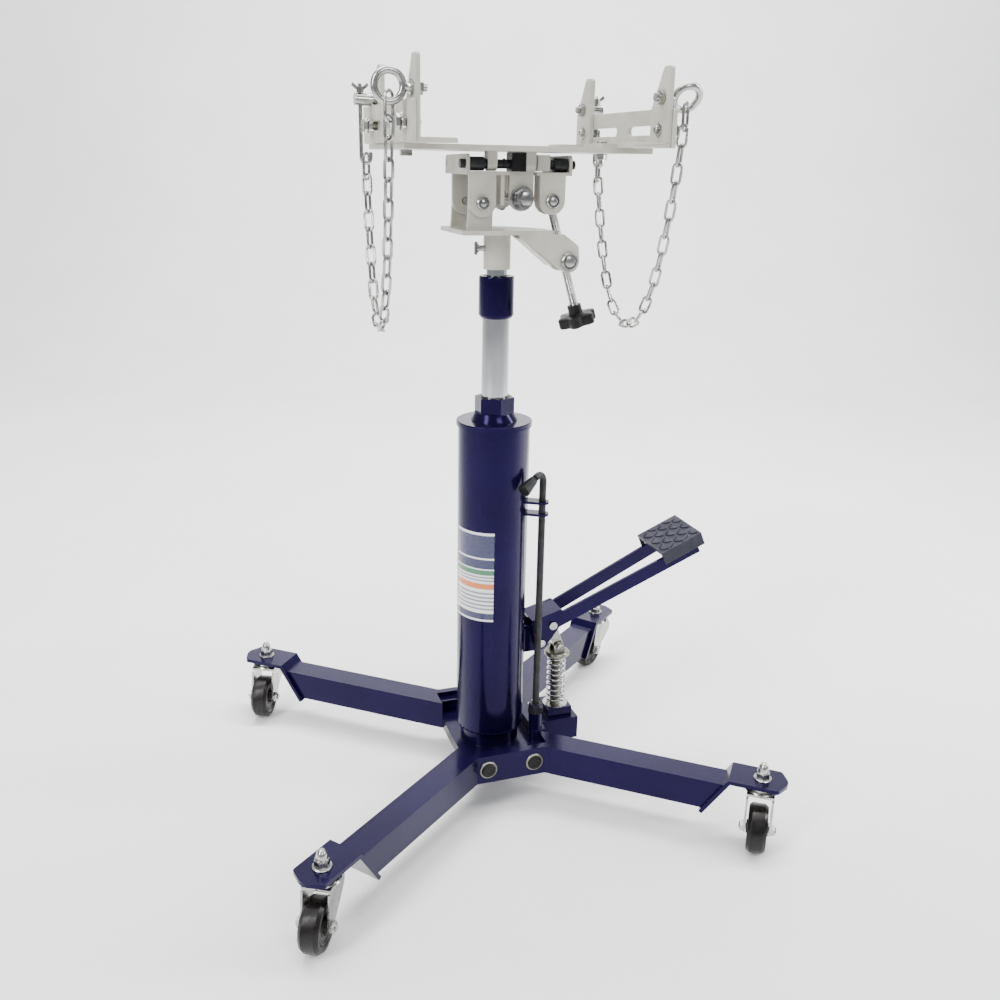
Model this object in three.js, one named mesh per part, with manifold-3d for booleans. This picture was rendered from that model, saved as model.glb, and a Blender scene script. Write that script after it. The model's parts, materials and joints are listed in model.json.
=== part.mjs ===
// Two-stage telescopic transmission jack: a hydraulic column on a four-caster base with a foot
// pump, carrying a swivelling saddle head that tilts two ways.
// Millimetres, +Z up. The origin is on the floor in the middle of the footprint; -Y is the front.
import * as THREE from "three";
import { mergeVertices } from "three/addons/utils/BufferGeometryUtils.js";
import Module from "manifold-3d";

const wasm = await Module();
wasm.setup();

// ---------------------------------------------------------------- driving dimensions
const GAP = 0.3; // clearance between touching pieces
const RUN = 0.4; // radial clearance of a pin in its hole
const DATUM = 20; // heights are measured from a datum this far below the floor
const COLUMN_Y = 11; // the column stands this far behind the middle of the footprint

// base: four legs, two of them on each bent frame
const CASTER_X = 326;
const CASTER_Y = 304;
const LEG_ANGLE = 39; // degrees from the X axis
const LEG_NEAR = 10; // leg sides, measured across the leg from the column's axis
const LEG_FAR = 52;
const LEG_WALL = 5;
const LEG_TOP = 113;
const LEG_BOTTOM = 66;
const CROSS_IN = 100.3; // cross plate that joins the two legs of a frame
const CROSS_OUT = 112;
const LEG_ROOT_X = 62.3;
const PAD_TOP = 125;
const PAD_THICK = 6;
const PAD_HALF = 27;
const PAD_START = 398; // along the leg
const PAD_CORNER = 473;
const PAD_END = 482;
const APRON_TIP = [359, 63]; // lower end of the slope that closes the leg
const BLOCK_X = 62;
const BLOCK_Y = 99.7;
const BLOCK_TOP = 84;
const DECK_Z = 105;
const PUMP_X = 116.5; // axis of the pump plunger
const PUMP_TOP = 122;
const PUMP_FLOOR = 76; // bottom of the plunger's bore, below its stroke
const VALVE = [66, -40]; // axis of the release valve and its rod
const VALVE_TOP = 150;

// casters
const WHEEL_R = 36.5;
const WHEEL_HALF = 14;
const AXLE_Z = DATUM + WHEEL_R;
const TRAIL = 26;
const FORK_IN = 17; // cheeks, measured from the wheel's mid plane
const FORK_OUT = 20;
const RACE_TOP = PAD_TOP - PAD_THICK - GAP;
const RACE_BOTTOM = 111.5;
const FORK_TOP = RACE_BOTTOM - GAP;

// column
const TUBE_R = 54;
const TUBE_WALL = 4;
const TUBE_BOTTOM = 112;
const TUBE_TOP = 611;
const CAP_TOP = 619;
const NUT_BOTTOM = 630;
const NUT_TOP = 654;
const RAM1_R = 20;
const RAM1_BORE = 15.5;
const RAM1_BOTTOM = 250;
const RAM1_TOP = 812;
const COLLAR_R = 25.5;
const COLLAR_BOTTOM = 770;
const COLLAR_TOP = 830;
const RAM2_R = 15;
const RAM2_BOTTOM = 370;
const RAM2_TOP = 838.5; // shoulder below the spigot
const SPIGOT_R = 12;
const SPIGOT_TOP = 880;

// foot pump; points are [x, z]
const FULCRUM = [78.5, 248];
const CRANK = [97.7, 276.6]; // pin between the lever and the link
const LINK_FOOT = [PUMP_X, 230]; // pin between the link and the plunger
const ARM_FROM = [72, 268];
const ARM_TO = [345, 392];
const ARM_HALF = 11;
const ARM_SPREAD = 2.9; // degrees that each arm leans out from the mid plane
const ARM_IN = 19; // lever cheeks, measured from the mid plane
const ARM_OUT = 24;
const TREAD = [309, 404];
const TREAD_LEAN = 23.5; // degrees
const TREAD_HALF = 45;
const SPRING_R = 15.5;
const SPRING_WIRE = 2;
const SPRING_TOP = 212;
const SPRING_COILS = 9;
const SPRING_TURN = 8; // steps in one coil

// head; points are [x, z] unless said otherwise
const SOCKET_R = 19.25;
const SOCKET_BOTTOM = 839;
const SHELF_BOTTOM = 889.5; // plate on the socket
const SHELF_TOP = 895.5;
const SIDE_PIVOT = [-40, 931];
const UPPER_PIN = [60.5, 934]; // the side screw hangs from here
const LOWER_PIN = [84.5, 854]; // and threads through the arm here
const SCREW_Y = -42;
const SCREW_R = 6;
const SLOP = 1.6; // clearance where the screw loop is opened
const FRAME_X = [-62, 88];
const FRAME_Y = [-54, 50];
const FRAME_BOTTOM = 967;
const FRAME_FLOOR = 971;
const WALL_TOP = 993.5;
const HINGE = [-43, 981]; // [y, z] of the fore-and-aft hinge
const PITCH = [18, 937.3];
const PITCH_R = 5.5;
const KNOB_CORE = 20;
const KNOB_LOBE = 8.5;

// saddle
const SADDLE_X = [-159, 182];
const SADDLE_Y = 105;
const SADDLE_BOTTOM = 997;
const SADDLE_TOP = 1004;
const BAR_START = -160;
const BAR_THICK = 6;
const BAR_TOP = 1053;
const SLOT_Z = 1027;
const POST_SHEET = 6;
const POST_DEPTH = 50;
const POST_FOOT = 52;
const POST_TOP = 1103;
const EYE_Z = 1066;
const EYE_Y = -140;
const HOOK_Z = 1060;
const RING_R = 17.3;
const RING_WIRE = 4.7;
const HOOK_LOW = 985; // centre of the hook's bend
const CHAIN_R = 8;
// the two ends of the saddle; "out" is the direction away from the column
const SIDES = {
  left: {
    out: -1, face: -157.3, farY: 30, barEnd: 115, hookX: -180, boltX: -131, ringTurn: 0,
    chain: 548,
  },
  right: {
    out: 1, face: 180, farY: 90, barEnd: 142, hookX: 195, boltX: 154, ringTurn: 35, chain: 600,
  },
};
const NEAR_Y = -158;

// ---------------------------------------------------------------- materials
const finish = (color, roughness, metalness) =>
  new THREE.MeshStandardMaterial({ color, roughness, metalness });
const NAVY = finish(0x14124a, 0.25, 0.1);
const CREAM = finish(0xc9c7b8, 0.45, 0.05);
const CHROME = finish(0xd4d6d8, 0.12, 1.0);
const ZINC = finish(0xb4b2a8, 0.35, 0.9);
const BLACK = finish(0x111113, 0.5, 0.0);
const STEEL = finish(0x6f7174, 0.4, 0.9);
const RUBBER = finish(0x17171a, 0.6, 0.0);
const TREAD_GREY = finish(0x4e5058, 0.6, 0.1);

// ---------------------------------------------------------------- solids
const root = new THREE.Group();

function solid(geometry) {
  const bare = geometry.index ? geometry.toNonIndexed() : geometry.clone();
  bare.deleteAttribute("normal");
  bare.deleteAttribute("uv");
  const joined = mergeVertices(bare, 1e-4);
  const raw = new wasm.Mesh({
    numProp: 3,
    vertProperties: new Float32Array(joined.attributes.position.array),
    triVerts: new Uint32Array(joined.index.array),
  });
  return new wasm.Manifold(raw);
}

function piece(name, shape, material) {
  const data = shape.getMesh();
  const geometry = new THREE.BufferGeometry();
  geometry.setAttribute("position", new THREE.BufferAttribute(data.vertProperties, 3));
  geometry.setIndex(new THREE.BufferAttribute(data.triVerts, 1));
  geometry.computeVertexNormals();
  const mesh = new THREE.Mesh(geometry, material);
  mesh.name = name;
  root.add(mesh);
  return mesh;
}

const union = (...shapes) => shapes.reduce((a, b) => a.add(b));
const cut = (shape, ...tools) => tools.reduce((a, b) => a.subtract(b), shape);

function block(x0, x1, y0, y1, z0, z1) {
  const g = new THREE.BoxGeometry(x1 - x0, y1 - y0, z1 - z0);
  g.translate((x0 + x1) / 2, (y0 + y1) / 2, (z0 + z1) / 2);
  return solid(g);
}

// A turned piece about the vertical through (x, y); the profile is a list of [radius, z].
function turned(profile, sides, x = 0, y = 0) {
  const g = new THREE.LatheGeometry(profile.map(([r, z]) => new THREE.Vector2(r, z)), sides);
  g.rotateX(Math.PI / 2);
  g.translate(x, y, 0);
  return solid(g);
}

function rod(r, z0, z1, x = 0, y = 0, sides = 16) {
  const g = new THREE.CylinderGeometry(r, r, z1 - z0, sides);
  g.rotateX(Math.PI / 2);
  g.translate(x, y, (z0 + z1) / 2);
  return solid(g);
}

function rodX(r, x0, x1, y, z, sides = 16) {
  const g = new THREE.CylinderGeometry(r, r, x1 - x0, sides);
  g.rotateZ(Math.PI / 2);
  g.translate((x0 + x1) / 2, y, z);
  return solid(g);
}

function rodY(r, y0, y1, x, z, sides = 16) {
  const g = new THREE.CylinderGeometry(r, r, y1 - y0, sides);
  g.translate(x, (y0 + y1) / 2, z);
  return solid(g);
}

function outline(points) {
  const shape = new THREE.Shape();
  points.forEach(([a, b], i) => (i ? shape.lineTo(a, b) : shape.moveTo(a, b)));
  shape.closePath();
  return shape;
}

const extruded = (shape, depth) =>
  new THREE.ExtrudeGeometry(shape, { depth, bevelEnabled: false, curveSegments: 6 });

// A plate whose outline lies in the XY plane, between two heights.
function plateXY(points, z0, z1) {
  const g = extruded(outline(points), z1 - z0);
  g.translate(0, 0, z0);
  return solid(g);
}

// A plate whose outline lies in the XZ plane, between two values of y.
function plateXZ(points, y0, y1) {
  const g = extruded(outline(points), y1 - y0);
  g.rotateX(Math.PI / 2);
  g.translate(0, y1, 0);
  return solid(g);
}

// A plate whose outline, a list of [y, z], lies in the YZ plane, between two values of x.
function plateYZ(points, x0, x1) {
  const g = extruded(outline(points), x1 - x0);
  g.rotateX(Math.PI / 2);
  g.rotateZ(Math.PI / 2);
  g.translate(x0, 0, 0);
  return solid(g);
}

// The rounded outline that wraps circles, in order, with straight tangents (a convex hull).
function wrapped(circles, steps = 14) {
  const pts = [];
  for (const [x, y, r] of circles) {
    for (let i = 0; i < steps; i++) {
      const a = (i / steps) * Math.PI * 2;
      pts.push([x + r * Math.cos(a), y + r * Math.sin(a)]);
    }
  }
  pts.sort((p, q) => p[0] - q[0] || p[1] - q[1]);
  const half = (list) => {
    const out = [];
    for (const p of list) {
      while (out.length > 1) {
        const [a, b] = [out[out.length - 2], out[out.length - 1]];
        if ((b[0] - a[0]) * (p[1] - a[1]) - (b[1] - a[1]) * (p[0] - a[0]) > 1e-9) break;
        out.pop();
      }
      out.push(p);
    }
    return out.slice(0, -1);
  };
  return half(pts).concat(half([...pts].reverse()));
}

// A round tube swept along a list of points.
function swept(points, r, sides, steps) {
  const curve = new THREE.CatmullRomCurve3(points.map((p) => new THREE.Vector3(...p)));
  const ring = [];
  for (let i = 0; i < sides; i++) {
    const a = (i / sides) * Math.PI * 2;
    ring.push([r * Math.cos(a), r * Math.sin(a)]);
  }
  const g = new THREE.ExtrudeGeometry(outline(ring), {
    steps, extrudePath: curve, bevelEnabled: false,
  });
  return solid(g);
}

const turn = (shape, degrees, centre = [0, 0, 0], axis = "z") => {
  const spin = { x: [degrees, 0, 0], y: [0, degrees, 0], z: [0, 0, degrees] }[axis];
  return shape.translate(centre.map((c) => -c)).rotate(spin).translate(centre);
};

const mirrorY = (shape) => shape.mirror([0, 1, 0]);
const mirrorX = (shape) => shape.mirror([1, 0, 0]);
const sorted = (a, b) => [a, b].sort((p, q) => p - q);

// The same plate at y0..y1 and mirrored to the other side of the mid plane.
const pairXZ = (points, y0, y1) => union(plateXZ(points, y0, y1), plateXZ(points, -y1, -y0));

// ---------------------------------------------------------------- base
// One leg in its own frame: x runs along the leg, y across it.
function leg() {
  const middle = (LEG_NEAR + LEG_FAR) / 2;
  const channel = cut(
    block(0, PAD_START + 10, LEG_NEAR, LEG_FAR, LEG_BOTTOM, LEG_TOP),
    block(108, PAD_START + 20, LEG_NEAR + LEG_WALL, LEG_FAR - LEG_WALL,
      LEG_BOTTOM - 1, LEG_TOP - LEG_WALL),
    // cut back along the slope of the apron
    plateXZ([[PAD_START + 5.5, PAD_TOP + 3.2], [520, PAD_TOP + 3.2], [520, 50], [354.2, 50]],
      0, 70),
  );
  const under = PAD_TOP - PAD_THICK;
  const cranked = plateXZ([
    [PAD_START, PAD_TOP], [PAD_END, PAD_TOP], [PAD_END, under], [PAD_START + 3.3, under],
    [APRON_TIP[0] + 5, APRON_TIP[1] - 3.2], APRON_TIP,
  ], middle - PAD_HALF, middle + PAD_HALF);
  const inset = PAD_HALF - 6;
  const nose = plateXY(wrapped([
    [340, middle - PAD_HALF + 1, 1], [340, middle + PAD_HALF - 1, 1],
    [PAD_CORNER - 6, middle - inset, 6], [PAD_CORNER - 6, middle + inset, 6],
    [PAD_END - 22, middle, 22],
  ], 20), 40, PAD_TOP + 1);
  return union(channel, cranked.intersect(nose));
}

// The frame behind the column: two legs joined by a cross plate.
function legFrame() {
  const turned = leg().rotate([0, 0, LEG_ANGLE]);
  const right = turned.intersect(block(LEG_ROOT_X, 500, 0, 500, 0, 200));
  const t = THREE.MathUtils.degToRad(LEG_ANGLE);
  const bend = (CROSS_OUT * Math.cos(t) - LEG_FAR) / Math.sin(t);
  const corner = plateXY([[bend, CROSS_OUT], [0, CROSS_OUT], [0, CROSS_IN],
    [LEG_ROOT_X + 1, CROSS_IN], [LEG_ROOT_X + 1, (LEG_FAR + LEG_ROOT_X * Math.sin(t)) / Math.cos(t)],
  ], LEG_BOTTOM, LEG_TOP);
  const half = union(right, corner);
  const holes = [-1, 1].map((side) => rod(6.3, 110, 130, side * CASTER_X, CASTER_Y, 12));
  return cut(union(half, mirrorX(half)), ...holes);
}

function baseBlock() {
  const parts = [
    block(-BLOCK_X, BLOCK_X, -BLOCK_Y, BLOCK_Y, LEG_BOTTOM, BLOCK_TOP),
    block(-BLOCK_X, BLOCK_X, BLOCK_Y - 16, BLOCK_Y, BLOCK_TOP - 1, DECK_Z),
    block(-BLOCK_X, BLOCK_X, -BLOCK_Y, 16 - BLOCK_Y, BLOCK_TOP - 1, DECK_Z),
    rod(47, BLOCK_TOP - 1, TUBE_BOTTOM - GAP, 0, 0, 32),
    block(BLOCK_X - 1, 82, -52, 52, LEG_BOTTOM, DECK_Z),
    block(81, 147, -30, 30, LEG_BOTTOM, DECK_Z),
    block(95, 138, -22, 22, DECK_Z - 1, PUMP_TOP),
    rod(11, BLOCK_TOP - 1, VALVE_TOP, VALVE[0], VALVE[1], 16),
  ];
  return cut(union(...parts),
    rod(9 + RUN, PUMP_FLOOR, PUMP_TOP + 1, PUMP_X, 0, 16),
    rod(5.5 + RUN, 110, VALVE_TOP + 1, VALVE[0], VALVE[1], 12));
}

// ---------------------------------------------------------------- casters
function casterStem(x, y) {
  const r = 5;
  const nut = PAD_TOP + GAP;
  return turned([
    [0, 101], [8, 101], [8, 105.4], [r, 105.4], [r, RACE_BOTTOM], [21, RACE_BOTTOM],
    [21, RACE_TOP], [r, RACE_TOP], [r, nut], [12, nut], [12, nut + 2.5], [9.5, nut + 2.5],
    [9.5, nut + 12], [7.5, nut + 14], [7, nut + 20], [4, nut + 25], [0, nut + 26],
  ], 9, x, y);
}

// Fork and wheel are built with the trail along +X and turned to their heading. The axle bolt is
// clamped in the fork.
function casterFork() {
  const cheek = wrapped([[TRAIL, AXLE_Z, 9], [-13, 93.5, 14], [22, 102, 5]], 12);
  const shell = union(
    rod(23, 105.8, FORK_TOP, 0, 0, 16),
    block(-18, 25, -FORK_OUT, FORK_OUT, 105.8, FORK_TOP - 1.5),
    pairXZ(cheek, FORK_IN, FORK_OUT),
  );
  return union(
    cut(shell, rod(5 + RUN, 95, 115, 0, 0, 10)),
    rodY(5, -FORK_OUT - 7, FORK_OUT + 7, TRAIL, AXLE_Z, 8),
    rodY(8.5, -FORK_OUT - 5, -FORK_OUT + 0.5, TRAIL, AXLE_Z, 6),
    rodY(8.5, FORK_OUT - 0.5, FORK_OUT + 5, TRAIL, AXLE_Z, 6),
  );
}

function casterWheel() {
  const bore = 5 + RUN;
  const hub = FORK_IN - 1;
  const shoulder = WHEEL_R - 4;
  const profile = [
    [bore, -hub], [10, -hub], [11, 3 - WHEEL_HALF], [25, 3 - WHEEL_HALF], [28, -WHEEL_HALF],
    [shoulder, -WHEEL_HALF], [WHEEL_R, -9], [WHEEL_R, 9], [shoulder, WHEEL_HALF],
    [28, WHEEL_HALF], [25, WHEEL_HALF - 3], [11, WHEEL_HALF - 3], [10, hub], [bore, hub],
    [bore, -hub],
  ];
  return turned(profile, 16).rotate([90, 0, 0]).translate([TRAIL, 0, AXLE_Z]);
}

function caster(name, sx, sy, heading) {
  const spot = [sx * CASTER_X, sy * CASTER_Y, 0];
  const place = (shape) => shape.rotate([0, 0, heading]).translate(spot);
  piece(`caster_${name}_stem`, casterStem(spot[0], spot[1]), ZINC);
  piece(`caster_${name}_fork`, place(casterFork()), ZINC);
  piece(`caster_${name}_wheel`, place(casterWheel()), RUBBER);
}

// ---------------------------------------------------------------- column
function reservoir() {
  const inner = TUBE_R - TUBE_WALL;
  const tube = turned([[TUBE_R, TUBE_BOTTOM], [TUBE_R, TUBE_TOP], [inner, TUBE_TOP],
    [inner, TUBE_BOTTOM], [TUBE_R, TUBE_BOTTOM]], 30);
  // two ears that carry the pedal
  const ears = pairXZ([[48, 232], [80, 232], [88, 240], [88, 256], [80, 268], [66, 278],
    [48, 278]], 11, 16);
  // two guides that hold the release rod off the tube
  const reach = Math.hypot(...VALVE);
  const bearing = THREE.MathUtils.radToDeg(Math.atan2(VALVE[1], VALVE[0]));
  const guide = (z) => plateXY(wrapped([[TUBE_R - 3, -8, 2], [TUBE_R - 3, 8, 2],
    [reach, 0, 10]], 12), z, z + 4).rotate([0, 0, bearing]);
  return cut(union(tube, ears, guide(474), guide(493)),
    rodY(5 + RUN, -30, 30, FULCRUM[0], FULCRUM[1], 12),
    rod(5.5 + RUN, 470, 500, VALVE[0], VALVE[1], 12),
    rod(inner - 0.01, 230, 500, 0, 0, 30));
}

function mainCylinder() {
  const bore = RAM1_R + RUN;
  return turned([[bore, TUBE_BOTTOM], [28, TUBE_BOTTOM], [28, 605], [bore, 605],
    [bore, TUBE_BOTTOM]], 24);
}

function reservoirCap() {
  const bore = RAM1_R + RUN;
  const low = TUBE_TOP + GAP;
  const round = turned([[bore, low], [57, low], [57, CAP_TOP - 1], [56, CAP_TOP], [35, CAP_TOP],
    [34, 623], [29.5, NUT_BOTTOM + 1], [bore, NUT_BOTTOM + 1], [bore, low]], 28);
  const hexagon = rod(30, NUT_BOTTOM, NUT_TOP, 0, 0, 6);
  return cut(union(round, hexagon), rod(bore, 600, 660, 0, 0, 28));
}

function ram1() {
  return turned([[0, RAM1_BOTTOM], [RAM1_R, RAM1_BOTTOM], [RAM1_R, RAM1_TOP - GAP],
    [RAM1_BORE, RAM1_TOP - GAP], [RAM1_BORE, RAM1_BOTTOM + 8], [0, RAM1_BOTTOM + 8]], 28);
}

function ram1Collar() {
  const around = RAM1_R + GAP;
  const bore = RAM2_R + GAP;
  return turned([[around, COLLAR_BOTTOM], [COLLAR_R - 3, COLLAR_BOTTOM],
    [COLLAR_R, COLLAR_BOTTOM + 5], [COLLAR_R, COLLAR_TOP - 1.5], [COLLAR_R - 1.5, COLLAR_TOP],
    [bore, COLLAR_TOP], [bore, RAM1_TOP], [around, RAM1_TOP], [around, COLLAR_BOTTOM]], 24);
}

function ram2() {
  return turned([[0, RAM2_BOTTOM], [RAM2_R, RAM2_BOTTOM], [RAM2_R, RAM2_TOP],
    [SPIGOT_R, RAM2_TOP], [SPIGOT_R, SPIGOT_TOP], [0, SPIGOT_TOP]], 28);
}

// ---------------------------------------------------------------- foot pump
// Shapes on the tread are built about its centre and then leaned.
const onTread = (shape) => shape.rotate([0, -TREAD_LEAN, 0])
  .translate([TREAD[0], 0, TREAD[1]]);

function pedalLever() {
  const slope = Math.atan2(ARM_TO[1] - ARM_FROM[1], ARM_TO[0] - ARM_FROM[0]);
  const along = (t, h) => [
    ARM_FROM[0] + t * Math.cos(slope) - h * Math.sin(slope),
    ARM_FROM[1] + t * Math.sin(slope) + h * Math.cos(slope),
  ];
  const length = Math.hypot(ARM_TO[0] - ARM_FROM[0], ARM_TO[1] - ARM_FROM[1]);
  const strip = [along(36, -ARM_HALF), along(length, -ARM_HALF), along(length, ARM_HALF),
    along(36, ARM_HALF)];
  // riser from the arm up to the tread
  const riser = [along(length - 62, 0), along(length - 4, 0), along(length - 8, 20),
    along(length - 62, 20)];
  const plates = union(plateXZ(strip, ARM_IN, ARM_OUT), plateXZ(riser, ARM_IN, ARM_OUT));
  const arm = turn(plates, ARM_SPREAD, [100, ARM_OUT, 0]);
  const cheek = wrapped([[...FULCRUM, 11], [...CRANK, 12], [66, 285, 4], [110, 298, 5]], 14);
  // web between the cheeks above the hinge, and a tie between the arms' ends
  const web = [[62, 285.3], [62, 289.3], [112, 303], [113, 299]];
  const tie = [along(length - 30, -ARM_HALF), along(length - 4, -ARM_HALF),
    along(length - 4, 5 - ARM_HALF), along(length - 30, 5 - ARM_HALF)];
  const seat = [along(length - 62, 15), along(length - 8, 15), along(length - 8, 20),
    along(length - 62, 20)];
  return cut(union(arm, mirrorY(arm), pairXZ(cheek, ARM_IN, ARM_OUT),
    plateXZ(web, -ARM_OUT, ARM_OUT), plateXZ(tie, -33, 33), plateXZ(seat, -33, 33)),
    rodY(5 + RUN, -40, 40, ...FULCRUM, 12), rodY(4.5 + RUN, -40, 40, ...CRANK, 12));
}

function pedalTread() {
  const inside = TREAD_HALF - 4;
  return onTread(cut(block(-37.5, 37.5, -TREAD_HALF, TREAD_HALF, -22, 0),
    block(-39, 33.5, -inside, inside, -25, -5)));
}

// A pin along Y with a round head on each end.
function headedPin(r, headR, half, [x, z]) {
  const seat = half + GAP;
  return union(rodY(r, -seat - 1, seat + 1, x, z, 12), rodY(headR, -seat - 3, -seat, x, z, 12),
    rodY(headR, seat, seat + 3, x, z, 12));
}

function pumpPlunger() {
  const body = turned([[0, 90], [9, 90], [9, SPRING_TOP + GAP], [21, SPRING_TOP + GAP],
    [21, 216], [19, 219], [0, 219]], 18, PUMP_X, 0);
  const ear = wrapped([[...LINK_FOOT, 8.5], [PUMP_X - 8, 218, 1], [PUMP_X + 8, 218, 1]], 12);
  return cut(union(body, pairXZ(ear, 8.5, 13)), rodY(4 + RUN, -20, 20, ...LINK_FOOT, 12));
}

function pumpLink() {
  const shape = plateXZ(wrapped([[...LINK_FOOT, 8], [...CRANK, 9.5]], 14), -8, 8);
  return cut(shape, rodY(4 + RUN, -20, 20, ...LINK_FOOT, 12),
    rodY(4.5 + SLOP, -20, 20, ...CRANK, 14));
}

function returnSpring() {
  const low = PUMP_TOP + GAP + SPRING_WIRE;
  const high = SPRING_TOP - SPRING_WIRE;
  const steps = SPRING_COILS * SPRING_TURN;
  const points = [];
  for (let i = 0; i <= steps; i++) {
    const a = (i / SPRING_TURN) * Math.PI * 2;
    points.push([PUMP_X + SPRING_R * Math.cos(a), SPRING_R * Math.sin(a),
      low + (high - low) * (i / steps)]);
  }
  return swept(points, SPRING_WIRE, 5, steps);
}

// The release valve's rod: straight up, then bent over towards its grip.
function releaseRod() {
  const [x, y] = VALVE;
  const bent = swept([[x, y, 522], [x, y, 530], [x - 2, y - 1, 536], [x - 9, y - 5, 540],
    [x - 17, y - 10, 537]], 5.5, 10, 9);
  return union(rod(5.5, 113, 523, x, y, 10), bent);
}

function releaseGrip() {
  const [x, y] = VALVE;
  const from = new THREE.Vector3(x - 19, y - 11.2, 535.6);
  const to = new THREE.Vector3(x - 40, y - 24, 523);
  const g = new THREE.CylinderGeometry(10, 6.5, from.distanceTo(to), 12);
  const aim = new THREE.Quaternion().setFromUnitVectors(new THREE.Vector3(0, 1, 0),
    to.clone().sub(from).normalize());
  g.applyQuaternion(aim);
  const middle = from.add(to).multiplyScalar(0.5);
  g.translate(middle.x, middle.y, middle.z);
  return solid(g);
}

// ---------------------------------------------------------------- head
// Weldment on the socket: shelf, yoke of the side tilt, arm of its screw.
function headBase() {
  const shelf = plateXY([[-69, -62], [62, -62], [62, -20], [50, 8], [28, 34], [0, 47],
    [-30, 50], [-69, 50]], SHELF_BOTTOM, SHELF_TOP);
  const yoke = wrapped([[...SIDE_PIVOT, 17], [-58, 896, 1], [-25, 896, 1]], 14);
  const arm = wrapped([[...LOWER_PIN, 16], [14, 888.5, 2], [76, 888.5, 2], [94, 872, 5]], 16);
  const cheeks = union(plateXZ(arm, -62, -56.5), plateXZ(arm, -27.5, -22));
  const web = plateXZ([[16, 884], [20, 889.5], [66, 852], [62, 846.5]], -57, -27);
  const socket = rod(SOCKET_R, SOCKET_BOTTOM, SHELF_BOTTOM + 1, 0, 0, 24);
  return cut(
    union(shelf, plateXZ(yoke, -47.9, -42.4), plateXZ(yoke, 30, 35.5), cheeks, web, socket),
    rod(SPIGOT_R + GAP, SOCKET_BOTTOM - 1, SPIGOT_TOP + GAP, 0, 0, 24),
    rodX(4 + RUN, -30, 0, 0, 868, 12),
    rodY(5 + RUN, -60, 60, ...SIDE_PIVOT, 12),
    rodY(7 + RUN, -70, -10, ...LOWER_PIN, 12),
  );
}

function setScrew() {
  return union(rodX(4, -31, -SPIGOT_R - GAP, 0, 868, 12), rodX(6, -31, -28, 0, 868, 12),
    rod(2.5, 859, 877, -31.5, 0, 10));
}

function sidePivotBolt() {
  return union(
    rodY(5, -55, 44, ...SIDE_PIVOT, 12),
    rodY(9, -57.5, -53.7 - GAP, ...SIDE_PIVOT, 12),
    rodY(9, 35.5 + GAP, 41, ...SIDE_PIVOT, 6),
  );
}

// A cross pin with a fat middle that the side screw passes through.
function trunnion(at, y0, y1, headR) {
  return union(
    rodY(7, y0 - 1, y1, ...at, 16),
    rodY(11, SCREW_Y - 9, SCREW_Y + 9, ...at, 16),
    rodY(headR, y0 - 3.5, y0 - GAP, ...at, 16),
  );
}

const SCREW_LEAN = THREE.MathUtils.radToDeg(
  Math.atan2(LOWER_PIN[0] - UPPER_PIN[0], UPPER_PIN[1] - LOWER_PIN[1]));

// Shapes on the side screw hang straight down from the origin and are then leaned into place.
const onScrew = (shape) => shape.rotate([0, -SCREW_LEAN, 0])
  .translate([UPPER_PIN[0], SCREW_Y, UPPER_PIN[1]]);

const upperTrunnion = () => cut(
  union(rodY(7, -55, -29, ...UPPER_PIN, 16), rodY(11, -48.5 + GAP, -35.5 - GAP, ...UPPER_PIN, 16),
    rodY(10, -56.5, -54 - GAP, ...UPPER_PIN, 16)),
  onScrew(rod(SCREW_R + RUN, -30, 30, 0, 0, 16)));

const lowerTrunnion = () => cut(trunnion(LOWER_PIN, -62, -21, 13),
  onScrew(rod(SCREW_R + SLOP, -130, -40, 0, 0, 16)));

function starKnob(coreR, lobeR, z0, z1, hubR, hubTop) {
  let knob = union(rod(coreR, z0, z1, 0, 0, 12), rod(hubR, z1 - 1, hubTop, 0, 0, 12));
  for (let i = 0; i < 6; i++) {
    const a = (i / 6) * Math.PI * 2;
    knob = knob.add(rod(lobeR, z0, z1, coreR * Math.cos(a), coreR * Math.sin(a), 8));
  }
  return knob;
}

function tiltFrame() {
  const [x0, x1] = FRAME_X;
  const [y0, y1] = FRAME_Y;
  const wallEnd = wrapped([[y0 + 1, FRAME_BOTTOM + 1, 1], [y1 - 1, FRAME_BOTTOM + 1, 1],
    [y0 + 6, WALL_TOP - 6, 6], [y1 - 6, WALL_TOP - 7.5, 6]], 16);
  const floor = cut(block(x0, x1, y0, y1, FRAME_BOTTOM, FRAME_FLOOR),
    block(-2, 37, y0 - 1, -20, FRAME_BOTTOM - 1, FRAME_FLOOR + 1));
  const ear = ([x, z], r, near, far) => plateXZ(
    wrapped([[x, z, r], [x - r + 1, FRAME_BOTTOM + 1, 1], [x + r - 1, FRAME_BOTTOM + 1, 1]], 14),
    near, far);
  const body = union(floor, plateYZ(wallEnd, x0, x0 + 4), plateYZ(wallEnd, x1 - 4, x1),
    ear(SIDE_PIVOT, 19, -53.7, -48.2), ear(SIDE_PIVOT, 19, 24, 29.5),
    ear(UPPER_PIN, 18.5, -54, -48.5), ear(UPPER_PIN, 18.5, -35.5, -30),
    ear(PITCH, 18, 38, 44),
    block(-13, -8, -50, 20, 928, FRAME_BOTTOM + 1));
  return cut(body,
    rodY(5 + RUN, -60, 60, ...SIDE_PIVOT, 12),
    rodY(7 + RUN, -60, -20, ...UPPER_PIN, 16),
    rodY(PITCH_R + RUN, 30, 50, ...PITCH, 12),
    rodX(6 + RUN, x0 - 5, x1 + 5, ...HINGE, 12),
    block(x0 - 1, x0 + 5, y0 + 5, y0 + 8, 977, 986),
    block(x0 - 1, x0 + 5, y1 - 9, y1 - 6, 977, 986));
}

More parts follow.
